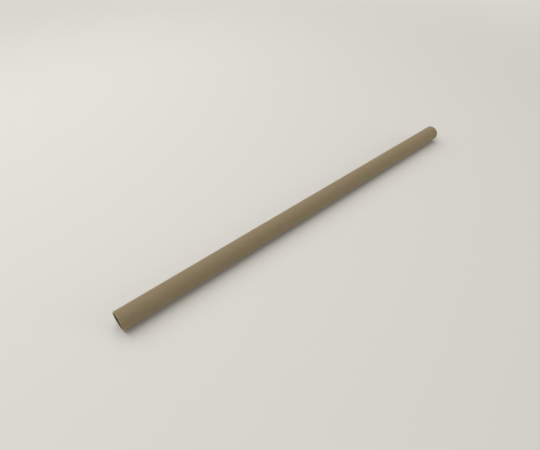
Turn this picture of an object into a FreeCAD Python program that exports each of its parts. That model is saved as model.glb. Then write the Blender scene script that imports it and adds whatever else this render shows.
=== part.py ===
import FreeCAD, Part
import math
import os
import Sketcher

# Open cardboard mailing tube, lying on its side as it would on a table. The board is wound and
# glued into one piece: a plain round wall, cut square at both ends, whose cut edges are worn.
# Millimetres, +Z up, +X along the tube. The origin is under the middle of the tube, on the
# line where the wall touches the surface below it.

# Driving dimensions: name, value and what it measures
SIZES = [
    ("outer_diameter", 40.0, "outside of the wall"),
    ("wall_thickness", 2.0, "all plies together"),
    ("tube_length", 1000.0, "from one cut end to the other"),
    ("outer_bevel", 0.4, "worn outer edge of each cut end"),
    ("inner_bevel", 0.25, "worn inner edge of each cut end"),
]


def make_sheet(doc):
    """Spreadsheet with a named cell for each driving dimension."""
    sheet = doc.addObject("Spreadsheet::Sheet", "sizes")
    for row, (name, value, meaning) in enumerate(SIZES, start=1):
        sheet.set(f"A{row}", name)
        sheet.set(f"B{row}", str(value))
        sheet.set(f"C{row}", meaning)
        sheet.setAlias(f"B{row}", name)
    doc.recompute()
    return sheet


def add_wall_profile(body):
    """Section through one side of the wall, on the body's XZ plane: x along the tube, y outward."""
    plane = next(feature for feature in body.Origin.OriginFeatures if feature.Role == "XZ_Plane")
    sketch = body.newObject("Sketcher::SketchObject", "wall_profile")
    sketch.AttachmentSupport = [(plane, "")]
    sketch.MapMode = "FlatFace"

    # Rough rectangle, clear of the axis. The constraints below give it its real size.
    corners = [FreeCAD.Vector(*point) for point in ((-2, 1), (2, 1), (2, 2), (-2, 2))]
    for side, corner in enumerate(corners):
        sketch.addGeometry(Part.LineSegment(corner, corners[(side + 1) % 4]))
    bore_side, far_end, outside, near_end = range(4)
    start, end = 1, 2
    origin = (-1, 1)
    vertical_axis = -2
    for side in range(4):
        sketch.addConstraint(Sketcher.Constraint("Coincident", side, end, (side + 1) % 4, start))
    for side in (far_end, near_end):
        sketch.addConstraint(Sketcher.Constraint("Vertical", side))
    sketch.addConstraint(Sketcher.Constraint("Horizontal", outside))
    mirrored_ends = (bore_side, start, bore_side, end, vertical_axis)
    sketch.addConstraint(Sketcher.Constraint("Symmetric", *mirrored_ends))
    for name, kind, ends, drawn, size in (
        ("tube_length", "DistanceX", (bore_side, start, bore_side, end), 4.0, "sizes.tube_length"),
        ("wall_thickness", "DistanceY", (far_end, start, far_end, end), 1.0, "sizes.wall_thickness"),
        ("outer_radius", "DistanceY", (*origin, outside, start), 2.0, "sizes.outer_diameter / 2"),
    ):
        row = sketch.addConstraint(Sketcher.Constraint(kind, *ends, drawn))
        sketch.renameConstraint(row, name)
        sketch.setExpression(f"Constraints.{name}", size)
    return sketch


def add_bevel(body, name, radius, size):
    """Bevel round the circular edges of that radius, one at each cut end."""
    base = body.Tip
    rims = [
        f"Edge{number}"
        for number, edge in enumerate(base.Shape.Edges, start=1)
        if isinstance(edge.Curve, Part.Circle) and math.isclose(edge.Curve.Radius, radius)
    ]
    bevel = body.newObject("PartDesign::Chamfer", name)
    bevel.Base = (base, rims)
    bevel.setExpression("Size", size)
    body.Document.recompute()


def make_tube(doc, sheet):
    """The whole tube, one piece, lifted so that it lies on the surface."""
    body = doc.addObject("PartDesign::Body", "tube")
    body.Label = "tube"
    body.setExpression("Placement.Base.z", "sizes.outer_diameter / 2")

    profile = add_wall_profile(body)
    wall = body.newObject("PartDesign::Revolution", "wall")
    wall.Profile = profile
    wall.ReferenceAxis = (profile, ["H_Axis"])
    wall.Angle = 360
    doc.recompute()

    outer_radius = sheet.outer_diameter / 2
    add_bevel(body, "outer_edges", outer_radius, "sizes.outer_bevel")
    add_bevel(body, "inner_edges", outer_radius - sheet.wall_thickness, "sizes.inner_bevel")
    return body


def check_document(doc, pieces):
    """Stop if any object failed to recompute or a piece has no sound shape."""
    for item in doc.Objects:
        if {"Invalid", "Error"} & set(item.State):
            raise RuntimeError(f"{item.Name} is {item.State}")
    for piece in pieces:
        if piece.Shape.isNull() or not piece.Shape.isValid():
            raise RuntimeError(f"{piece.Label} has no valid shape")


def main():
    doc = FreeCAD.newDocument("mailing_tube")
    sheet = make_sheet(doc)
    pieces = [make_tube(doc, sheet)]
    check_document(doc, pieces)
    os.makedirs("parts", exist_ok=True)
    for piece in pieces:
        piece.Shape.exportStep(f"parts/{piece.Label}.step")
        box = piece.Shape.BoundBox
        print(
            f"{piece.Label}: {box.XLength:.1f} x {box.YLength:.1f} x {box.ZLength:.1f} mm, "
            f"{piece.Shape.Volume:.0f} mm3, {len(piece.Shape.Solids)} solid"
        )


main()
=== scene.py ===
import math
from collections import namedtuple

import bpy
import numpy as np
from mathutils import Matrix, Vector


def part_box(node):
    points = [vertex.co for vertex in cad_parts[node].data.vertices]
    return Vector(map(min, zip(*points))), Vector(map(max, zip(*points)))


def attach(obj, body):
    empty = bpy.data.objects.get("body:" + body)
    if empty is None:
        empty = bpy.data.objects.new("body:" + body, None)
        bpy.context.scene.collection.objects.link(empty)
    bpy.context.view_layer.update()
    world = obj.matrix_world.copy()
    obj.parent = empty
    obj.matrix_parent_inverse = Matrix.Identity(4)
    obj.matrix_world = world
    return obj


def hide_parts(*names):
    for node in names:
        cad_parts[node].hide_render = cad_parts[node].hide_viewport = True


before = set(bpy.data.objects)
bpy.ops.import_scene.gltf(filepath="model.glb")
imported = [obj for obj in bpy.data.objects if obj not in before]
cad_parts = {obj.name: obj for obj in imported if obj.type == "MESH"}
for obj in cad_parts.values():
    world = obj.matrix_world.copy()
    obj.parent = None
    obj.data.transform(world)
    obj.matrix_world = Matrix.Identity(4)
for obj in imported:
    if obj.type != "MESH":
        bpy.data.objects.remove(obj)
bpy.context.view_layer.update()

MM = 0.001

# The tube. Its length and outside come from the frame, and the rest is as in the part's source.
# The frame's mesh has flat sides, so it is a hair narrower than it is high, and the tube is as wide.
TUBE_LOW, TUBE_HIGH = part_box("tube")
LENGTH = TUBE_HIGH.x - TUBE_LOW.x
RADIUS = (TUBE_HIGH.y - TUBE_LOW.y) / 2
WALL = 2.0 * MM
OUTER_BEVEL = 0.4 * MM
INNER_BEVEL = 0.25 * MM

# The strips of board that the wall is wound from, and the hairline joint between their turns.
# A joint's turn is the share of a circle, from +Y toward +Z, at which it leaves the -X end.
PLIES = 5
JOINT_PITCH = 105.0 * MM
JOINT_WIDTH = 0.3 * MM
JOINT_DEPTH = 0.08 * MM
OUTER_JOINT_TURN = 0.78
BORE_JOINT_TURN = 0.30
STRIP_WIDTH = JOINT_PITCH * math.tau * RADIUS / math.hypot(JOINT_PITCH, math.tau * RADIUS)

# The cut ends. Wave is the share of the raggedness that is in long waves round the rim, and the
# rest is fibre. The waves' counts round the rim are given, and between what limits their strength
# lies. The gap lies between the deepest cut and the wall.
RAGGED = 0.12 * MM
RAGGED_WAVE = 0.7
RAGGED_WAVE_COUNTS = (2, 3, 5, 8, 13)
RAGGED_WAVE_STRENGTHS = (0.3, 1.0)
RIM_GAP = 0.2 * MM
PLY_EDGE_DEPTH = 0.05 * MM
PLY_EDGE_WIDTH = 0.1 * MM
GLUE_LINE_WIDTH = 0.09 * MM

# Fineness of the mesh. The lip is where the joint's side ends, and cross lines then follow at
# some half widths of the joint from its middle. Nearer to a rim than the sliver, they fall on it.
SEGMENTS = 144
OUTSIDE_STEP = 4.2 * MM
BORE_STEP = 9.0 * MM
JOINT_LIP = 0.08 * MM
LINES_BESIDE_JOINT = (3, 8)
SLIVER = 0.25 * MM
BEND_STEPS = 5
SEED = 7

# The camera, fitted to the photograph's long edges and end rims. Heading is from +X toward +Y,
# and pitch is downward, in degrees.
CAMERA_PLACE = (-0.5770, -0.4967, 0.6396)
CAMERA_HEADING = 48.559
CAMERA_PITCH = 42.391
FOCAL_PIXELS = 410.0
PICTURE_WIDTH = 540.0
SENSOR_WIDTH = 36.0

# A wide lamp above, behind the tube as the camera sees it, a weak low one in front of it,
# and an even pale sky. Lamps are in watts, and places and sizes in metres.
KEY_PLACE = (-0.55, 1.45, 2.85)
KEY_SIZE = 5.0
KEY_POWER = 96.0
FILL_PLACE = (3.20, -4.60, 1.60)
FILL_SIZE = 3.0
FILL_POWER = 52.0
SKY = 0.38
BACKDROP = 0.93

# The floor. The camera sees it fade to the backdrop's tone between two distances from the tube.
FLOOR_RADIUS = 60.0
FLOOR_CORNERS = 64
FLOOR_ROUGHNESS = 0.6
FLOOR_SPECULAR = 0.2
FADE_START = 0.9
FADE_END = 2.4

# Colours as they look on screen, from 0 to 255
KRAFT = (141, 125, 96)
# The bore is painted darker than the outside: painted shade that deepens the shade seen inside the
# mouth.
BORE_KRAFT_PAINTED_SHADE = (126, 110, 85)
CUT_EDGE = (184, 170, 144)
FLOOR = (224, 221, 214)
SHEEN_TINT = (255, 238, 205)

# Finish of the board. A relief of 1 is as high as the relief depth, and rougher by the spread.
SHEEN = 0.4
SHEEN_ROUGHNESS = 0.4
BOARD_SPECULAR = 0.25
ROUGHNESS_SPREAD = 0.1
WALL_ROUGHNESS = 0.82
WALL_RELIEF = 0.04 * MM
CUT_ROUGHNESS = 0.9
CUT_RELIEF = 0.07 * MM

# Tone across a strip of board, from its joint to the next: place and tone, about 0.5
BANDS = (
    (0.0, 0.5), (0.03, 0.95), (0.18, 1.0), (0.24, 0.35),
    (0.38, 0.3), (0.6, 0.5), (0.85, 0.3), (0.98, 0.1),
)
BAND_STRENGTH = 0.03

# A layer of noise in the board. Scale is in features for each metre along three axes, and the
# layer's grain is turned by some degrees. Only what is over the limit shows, where there is one,
# with an edge as soft as the softness. Tone and relief are the layer's weights in each.
Layer = namedtuple("Layer", "scale turn detail limit tone relief")
SOFTNESS = 0.12
CLOUD = Layer((85.0, 120.0, 1.0), 0, 3.0, None, 0.09, 0.6)
STREAK = Layer((6.0, 450.0, 1.0), 0, 2.0, None, 0.03, 0.0)
FIBRE = Layer((330.0, 3000.0, 1.0), 9, 2.0, None, 0.11, 1.0)
CROSSED_FIBRE = Layer((450.0, 2700.0, 1.0), -34, 2.0, None, 0.11, 1.0)
FLECK = Layer((520.0, 1500.0, 1.0), 21, 0.0, 0.5, -0.17, 0.0)
HAIR = Layer((170.0, 3400.0, 1.0), -13, 0.0, 0.42, 0.06, 0.5)
WALL_LAYERS = (CLOUD, STREAK, FIBRE, CROSSED_FIBRE, FLECK, HAIR)
CUT_CLOUD = Layer((200.0, 200.0, 200.0), 0, 3.0, None, 0.10, 0.5)
CUT_FIBRE = Layer((900.0, 2600.0, 2600.0), 0, 3.0, None, 0.22, 1.0)
CUT_LAYERS = (CUT_CLOUD, CUT_FIBRE)
GLUE_TONE = -0.24
GLUE_RELIEF = -0.6


def linear(colour, gain=1.0):
    """Scene colour of a screen colour by the usual screen curve, with alpha."""
    parts = [c / 255 for c in colour]
    parts = [c / 12.92 if c <= 0.04045 else ((c + 0.055) / 1.055) ** 2.4 for c in parts]
    return (*(gain * c for c in parts), 1.0)


def make_camera():
    data = bpy.data.cameras.new("camera")
    data.sensor_width = SENSOR_WIDTH
    data.lens = SENSOR_WIDTH * FOCAL_PIXELS / PICTURE_WIDTH
    camera = bpy.data.objects.new("camera", data)
    camera.location = CAMERA_PLACE
    camera.rotation_euler = (
        math.radians(90 - CAMERA_PITCH),
        0,
        math.radians(CAMERA_HEADING - 90),
    )
    bpy.context.scene.collection.objects.link(camera)
    bpy.context.scene.camera = camera


class Shell:
    """Points, faces, strip coordinates and material numbers gathered for one mesh."""

    def __init__(self):
        self.points = []
        self.faces = []
        self.strip = []
        self.materials = []

    def add_point(self, from_end, angle, radius):
        """Point at a distance from the -X end, at an angle from +Y toward +Z."""
        self.points.append(
            (from_end - LENGTH / 2, radius * math.cos(angle), RADIUS + radius * math.sin(angle))
        )
        return len(self.points) - 1

    def add_ring(self, from_end, radius):
        """Ring of points. from_end is one distance or one for each point."""
        distances = np.broadcast_to(from_end, SEGMENTS)
        return [
            self.add_point(distances[a], math.tau * a / SEGMENTS, radius) for a in range(SEGMENTS)
        ]

    def add_face(self, corners, strip, material):
        """Face of three or four corners, once those that fell together are left out."""
        kept = [n for n in range(len(corners)) if corners[n] != corners[n - 1]]
        if len(kept) > 2:
            self.faces.append([corners[n] for n in kept])
            self.strip.extend(strip[n] for n in kept)
            self.materials.append(material)

    def join_rings(self, ring_a, ring_b, material):
        for a in range(SEGMENTS):
            b = (a + 1) % SEGMENTS
            self.add_face([ring_a[a], ring_b[a], ring_b[b], ring_a[b]], [(0.0, 0.0)] * 4, material)

    def make_object(self, name, materials):
        mesh = bpy.data.meshes.new(name)
        mesh.from_pydata(self.points, [], self.faces)
        strip_map = mesh.uv_layers.new(name="strip")
        strip_map.data.foreach_set("uv", np.array(self.strip, np.float32).ravel())
        for material in materials:
            mesh.materials.append(material)
        mesh.polygons.foreach_set("material_index", self.materials)
        mesh.shade_smooth()
        mesh.update()
        piece = bpy.data.objects.new(name, mesh)
        bpy.context.scene.collection.objects.link(piece)
        return piece


def cross_lines(plain_step):
    """The wall's cross lines within one pitch: how far along the tube each is, and how deep.

    The joint is at both ends of the list. Lines crowd beside it, so that its shading stays there."""
    half = JOINT_WIDTH / 2
    beside = [half * step for step in LINES_BESIDE_JOINT]
    near = np.array([half - JOINT_LIP, half + JOINT_LIP, *beside])
    near_depths = [JOINT_DEPTH] + [0.0] * (len(near) - 1)
    count = round((JOINT_PITCH - 2 * near[-1]) / plain_step)
    plain = np.linspace(near[-1], JOINT_PITCH - near[-1], count + 1)[1:-1]
    offsets = np.concatenate([near, plain, JOINT_PITCH - near[::-1]])
    depths = np.concatenate([near_depths, np.zeros(len(plain)), near_depths[::-1]])
    return offsets, depths


def add_wall(shell, radius, outward, joint_turn, plain_step, rim_width, material):
    """Round wall between the rims, whose cross lines follow the helix of its ply's joint.

    A cross line that has gone once round goes on as the same line of the next turn, so the
    mesh has no seam. outward is +1 for the outside and -1 for the bore, where the joint is cut
    the other way and the faces look the other way. Returns the rings at its two ends."""
    offsets, depths = cross_lines(plain_step)
    lines = len(offsets)
    turns = math.ceil(LENGTH / JOINT_PITCH) + 2
    first_joint = -(1 + joint_turn) * JOINT_PITCH
    starts = first_joint + (np.arange(turns)[:, None] * JOINT_PITCH + offsets[None, :]).ravel()
    low, high = rim_width, LENGTH - rim_width
    end_rings = [shell.add_ring(low, radius), shell.add_ring(high, radius)]

    def place(a, line):
        return starts[line] + JOINT_PITCH * a / SEGMENTS

    numbers = np.empty((SEGMENTS, len(starts)), int)
    for a in range(SEGMENTS):
        for line in range(len(starts)):
            from_end = place(a, line)
            if from_end < low + SLIVER:
                numbers[a, line] = end_rings[0][a]
            elif from_end > high - SLIVER:
                numbers[a, line] = end_rings[1][a]
            else:
                depth = outward * depths[line % lines]
                numbers[a, line] = shell.add_point(from_end, math.tau * a / SEGMENTS, radius - depth)

    def number(a, line):
        if a < SEGMENTS:
            return numbers[a, line]
        if line + lines < len(starts):
            return numbers[0, line + lines]
        return end_rings[1][0]

    round_length = math.tau * radius
    strip_length = math.hypot(round_length, JOINT_PITCH)

    def strip_place(a, line, turn):
        """Distance along the wound strip and across it, from its joint."""
        turned = a / SEGMENTS + turn
        from_end = min(max(place(a, line), low), high)
        along = (turned * round_length**2 + from_end * JOINT_PITCH) / strip_length
        across = (from_end - first_joint - JOINT_PITCH * turned) * round_length / strip_length
        return along, across

    for a in range(SEGMENTS):
        for line in range(len(starts) - 1):
            cell = [(a, line), (a + 1, line), (a + 1, line + 1), (a, line + 1)][::outward]
            turn = line // lines + (line % lines == lines - 1)
            corners = [number(*corner) for corner in cell]
            shell.add_face(corners, [strip_place(*corner, turn) for corner in cell], material)
    return end_rings


def rim_section():
    """Cut end, from the outside to the bore: how far each ring lies in, and its radius."""
    outside, bore = RADIUS, RADIUS - WALL
    quarter = np.linspace(0, math.pi / 2, BEND_STEPS + 1)
    section = [
        (OUTER_BEVEL * (1 - math.sin(turn)), outside - OUTER_BEVEL * (1 - math.cos(turn)))
        for turn in quarter
    ]
    half = PLY_EDGE_WIDTH / 2
    for ply in range(1, PLIES):
        edge = outside - WALL * ply / PLIES
        section += [(0.0, edge + half), (PLY_EDGE_DEPTH, edge), (0.0, edge - half)]
    section += [
        (INNER_BEVEL * (1 - math.cos(turn)), bore + INNER_BEVEL * (1 - math.sin(turn)))
        for turn in quarter
    ]
    return section


def add_rim(shell, outside_ring, bore_ring, side, rng, material):
    """Cut end between the outside and the bore, a little ragged. side is -1 at -X and +1 at +X."""
    angles = np.arange(SEGMENTS) * math.tau / SEGMENTS
    wave = sum(
        rng.uniform(*RAGGED_WAVE_STRENGTHS) / k * np.cos(k * angles + rng.uniform(0, math.tau))
        for k in RAGGED_WAVE_COUNTS
    )
    wave = (wave - wave.min()) / np.ptp(wave)
    last = outside_ring
    for inset, radius in rim_section():
        fibre = rng.uniform(0, 1, SEGMENTS)
        depth = inset + RAGGED * (RAGGED_WAVE * wave + (1 - RAGGED_WAVE) * fibre)
        ring = shell.add_ring(depth if side < 0 else LENGTH - depth, radius)
        shell.join_rings(*((last, ring)[::-side]), material)
        last = ring
    shell.join_rings(*((last, bore_ring)[::-side]), material)


class Nodes:
    """Small helper to write a material's node tree in a few words."""

    def __init__(self, name):
        self.material = bpy.data.materials.new(name)
        self.material.use_nodes = True
        self.tree = self.material.node_tree
        self.shader = self.tree.nodes["Principled BSDF"]

    def add(self, kind, inputs=(), **settings):
        node = self.tree.nodes.new("ShaderNode" + kind)
        for name, value in settings.items():
            setattr(node, name, value)
        for socket, value in dict(inputs).items():
            if isinstance(value, bpy.types.NodeSocket):
                self.tree.links.new(value, node.inputs[socket])
            else:
                node.inputs[socket].default_value = value
        return node

    def maths(self, operation, a, b=0.0, c=0.0):
        return self.add("Math", {0: a, 1: b, 2: c}, operation=operation).outputs[0]

    def noise(self, place, scale, detail):
        """Noise about 0, from about -1 to 1. scale is in features for each metre, along each axis."""
        stretched = self.add("VectorMath", {0: place, 1: scale}, operation="MULTIPLY").outputs[0]
        made = self.add("TexNoise", {"Vector": stretched, "Scale": 1.0, "Detail": detail})
        return self.maths("MULTIPLY_ADD", made.outputs[0], 2.0, -1.0)

    def turned(self, place, degrees):
        return self.add(
            "VectorRotate", {"Vector": place, "Angle": math.radians(degrees)}, rotation_type="Z_AXIS"
        ).outputs[0]

    def over(self, value, limit):
        """0 up to a limit, rising to 1 a little past it, so that the edge is soft."""
        return self.add(
            "MapRange", {"Value": value, "From Min": limit, "From Max": limit + SOFTNESS}
        ).outputs[0]

    def weighted(self, *terms):
        """Sum of values, each times its weight."""
        total = self.maths("MULTIPLY", *terms[0])
        for value, weight in terms[1:]:
            total = self.maths("MULTIPLY_ADD", value, weight, total)
        return total

    def layer_value(self, place, layer):
        turned = self.turned(place, layer.turn) if layer.turn else place
        value = self.noise(turned, layer.scale, layer.detail)
        return value if layer.limit is None else self.over(value, layer.limit)

    def layered(self, place, layers):
        """Tone and relief of some layers, each the layers' sum by their weights."""
        values = [self.layer_value(place, layer) for layer in layers]
        tone = self.weighted(*zip(values, [layer.tone for layer in layers]))
        relief = self.weighted(*zip(values, [layer.relief for layer in layers]))
        return tone, relief

    def link(self, value, socket):
        self.tree.links.new(value, self.shader.inputs[socket])


def finish_board(nodes, colour, tone, relief, depth, roughness):
    """Set the shader from a tone about 0, in shares of the colour, and a relief, in shares of a depth.

    The finish of all board is the same apart from these and its roughness."""
    gain = nodes.maths("ADD", tone, 1.0)
    tinted = nodes.add("VectorMath", {0: linear(colour)[:3], "Scale": gain}, operation="SCALE")
    nodes.link(tinted.outputs[0], "Base Color")
    nodes.link(nodes.maths("MULTIPLY_ADD", relief, ROUGHNESS_SPREAD, roughness), "Roughness")
    bump = nodes.add("Bump", {"Height": relief, "Distance": depth, "Strength": 1.0})
    nodes.link(bump.outputs[0], "Normal")
    nodes.shader.inputs["Specular IOR Level"].default_value = BOARD_SPECULAR
    nodes.shader.inputs["Sheen Weight"].default_value = SHEEN
    nodes.shader.inputs["Sheen Roughness"].default_value = SHEEN_ROUGHNESS
    nodes.shader.inputs["Sheen Tint"].default_value = linear(SHEEN_TINT)
    return nodes.material


def band_tone(nodes, strip):
    """Tone across the strip: paler just past the joint, then a little darker."""
    across = nodes.add("SeparateXYZ", {0: strip}).outputs["Y"]
    ramp = nodes.add("ValToRGB", {0: nodes.maths("DIVIDE", across, STRIP_WIDTH)})
    ramp.color_ramp.interpolation = "B_SPLINE"
    elements = ramp.color_ramp.elements
    while len(elements) < len(BANDS):
        elements.new(0.5)
    for element, (position, value) in zip(elements, BANDS):
        element.position = position
        element.color = (value, value, value, 1.0)
    return nodes.maths("MULTIPLY_ADD", ramp.outputs[0], BAND_STRENGTH, -BAND_STRENGTH / 2)


def wall_material(name, colour):
    """Wound board: cloudy pulp, streaks along the strip, crossed fibres, dark flecks and pale hairs."""
    nodes = Nodes(name)
    strip = nodes.add("UVMap", uv_map="strip").outputs[0]
    tone, relief = nodes.layered(strip, WALL_LAYERS)
    tone = nodes.maths("ADD", tone, band_tone(nodes, strip))
    return finish_board(nodes, colour, tone, relief, WALL_RELIEF, WALL_ROUGHNESS)


def cut_material():
    """Cut end: raw fibre, paler than the wall, with a darker glue line between plies."""
    nodes = Nodes("cut_edge")
    place = nodes.add("TexCoord").outputs["Object"]
    xyz = nodes.add("SeparateXYZ", {0: place})
    height = nodes.maths("SUBTRACT", xyz.outputs["Z"], RADIUS)
    squares = nodes.maths(
        "ADD", nodes.maths("POWER", xyz.outputs["Y"], 2.0), nodes.maths("POWER", height, 2.0)
    )
    from_outside = nodes.maths("SUBTRACT", RADIUS, nodes.maths("SQRT", squares))
    from_line = nodes.maths("PINGPONG", from_outside, WALL / PLIES / 2)
    glue = nodes.maths("LESS_THAN", from_line, GLUE_LINE_WIDTH / 2)
    tone, relief = nodes.layered(place, CUT_LAYERS)
    tone = nodes.maths("MULTIPLY_ADD", glue, GLUE_TONE, tone)
    relief = nodes.maths("MULTIPLY_ADD", glue, GLUE_RELIEF, relief)
    return finish_board(nodes, CUT_EDGE, tone, relief, CUT_RELIEF, CUT_ROUGHNESS)


def make_tube():
    rng = np.random.default_rng(SEED)
    shell = Shell()
    outside, bore, cut = range(3)
    rim_gap = RAGGED + RIM_GAP
    outer_rings = add_wall(
        shell, RADIUS, 1, OUTER_JOINT_TURN, OUTSIDE_STEP, OUTER_BEVEL + rim_gap, outside
    )
    bore_rings = add_wall(
        shell, RADIUS - WALL, -1, BORE_JOINT_TURN, BORE_STEP, INNER_BEVEL + rim_gap, bore
    )
    for side, outer_ring, bore_ring in zip((-1, 1), outer_rings, bore_rings):
        add_rim(shell, outer_ring, bore_ring, side, rng, cut)
    materials = [
        wall_material("kraft_outside", KRAFT),
        # The bore's board carries painted shade, a darker colour than the outside that deepens the
        # shade inside the mouth.
        wall_material("kraft_bore_painted_shade", BORE_KRAFT_PAINTED_SHADE),
        cut_material(),
    ]
    piece = shell.make_object("wound_tube", materials)
    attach(piece, "root")
    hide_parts("tube")


def make_floor():
    """Round floor, wide enough that its rim is lost at the horizon.

    Far from the tube, where the lamps light it unevenly, the camera sees it in the backdrop's tone."""
    turns = [math.tau * n / FLOOR_CORNERS for n in range(FLOOR_CORNERS)]
    points = [(FLOOR_RADIUS * math.cos(turn), FLOOR_RADIUS * math.sin(turn), 0) for turn in turns]
    mesh = bpy.data.meshes.new("floor")
    mesh.from_pydata(points, [], [range(FLOOR_CORNERS)])
    nodes = Nodes("floor")
    nodes.shader.inputs["Base Color"].default_value = linear(FLOOR)
    nodes.shader.inputs["Roughness"].default_value = FLOOR_ROUGHNESS
    nodes.shader.inputs["Specular IOR Level"].default_value = FLOOR_SPECULAR
    place = nodes.add("TexCoord").outputs["Object"]
    distance = nodes.add("VectorMath", {0: place}, operation="LENGTH").outputs["Value"]
    fade = nodes.add(
        "MapRange",
        {"Value": distance, "From Min": FADE_START, "From Max": FADE_END},
        interpolation_type="SMOOTHSTEP",
    ).outputs[0]
    seen = nodes.add("LightPath").outputs["Is Camera Ray"]
    far = nodes.add("Emission", {"Color": linear(FLOOR), "Strength": BACKDROP})
    mix = nodes.add(
        "MixShader",
        {0: nodes.maths("MULTIPLY", fade, seen), 1: nodes.shader.outputs[0], 2: far.outputs[0]},
    )
    nodes.tree.links.new(mix.outputs[0], nodes.tree.nodes["Material Output"].inputs["Surface"])
    mesh.materials.append(nodes.material)
    floor = bpy.data.objects.new("floor", mesh)
    bpy.context.scene.collection.objects.link(floor)


def make_world():
    """Even sky light. Camera, glossy and transmission rays see the pale backdrop instead."""
    world = bpy.data.worlds.new("studio")
    world.use_nodes = True
    nodes, links = world.node_tree.nodes, world.node_tree.links
    sky = nodes["Background"]
    sky.inputs["Strength"].default_value = SKY
    sky.inputs["Color"].default_value = (1.0, 1.0, 1.0, 1.0)
    backdrop = nodes.new("ShaderNodeBackground")
    backdrop.inputs["Color"].default_value = linear(FLOOR, BACKDROP)
    path = nodes.new("ShaderNodeLightPath")
    seen = path.outputs["Is Camera Ray"]
    for kind in ("Is Glossy Ray", "Is Transmission Ray"):
        either = nodes.new("ShaderNodeMath")
        either.operation = "MAXIMUM"
        links.new(seen, either.inputs[0])
        links.new(path.outputs[kind], either.inputs[1])
        seen = either.outputs[0]
    mix = nodes.new("ShaderNodeMixShader")
    links.new(seen, mix.inputs[0])
    links.new(sky.outputs[0], mix.inputs[1])
    links.new(backdrop.outputs[0], mix.inputs[2])
    links.new(mix.outputs[0], nodes["World Output"].inputs["Surface"])
    bpy.context.scene.world = world


def make_lamp(name, place, size, power):
    """Round soft lamp that points at the middle of the tube."""
    data = bpy.data.lights.new(name, "AREA")
    data.shape = "DISK"
    data.size = size
    data.energy = power
    lamp = bpy.data.objects.new(name, data)
    lamp.location = place
    lamp.rotation_mode = "QUATERNION"
    lamp.rotation_quaternion = (-Vector(place)).to_track_quat("-Z", "Y")
    lamp.visible_camera = False
    bpy.context.scene.collection.objects.link(lamp)


make_camera()
make_floor()
make_world()
make_lamp("key", KEY_PLACE, KEY_SIZE, KEY_POWER)
make_lamp("fill", FILL_PLACE, FILL_SIZE, FILL_POWER)
make_tube()
bpy.context.scene.view_settings.view_transform = "Standard"
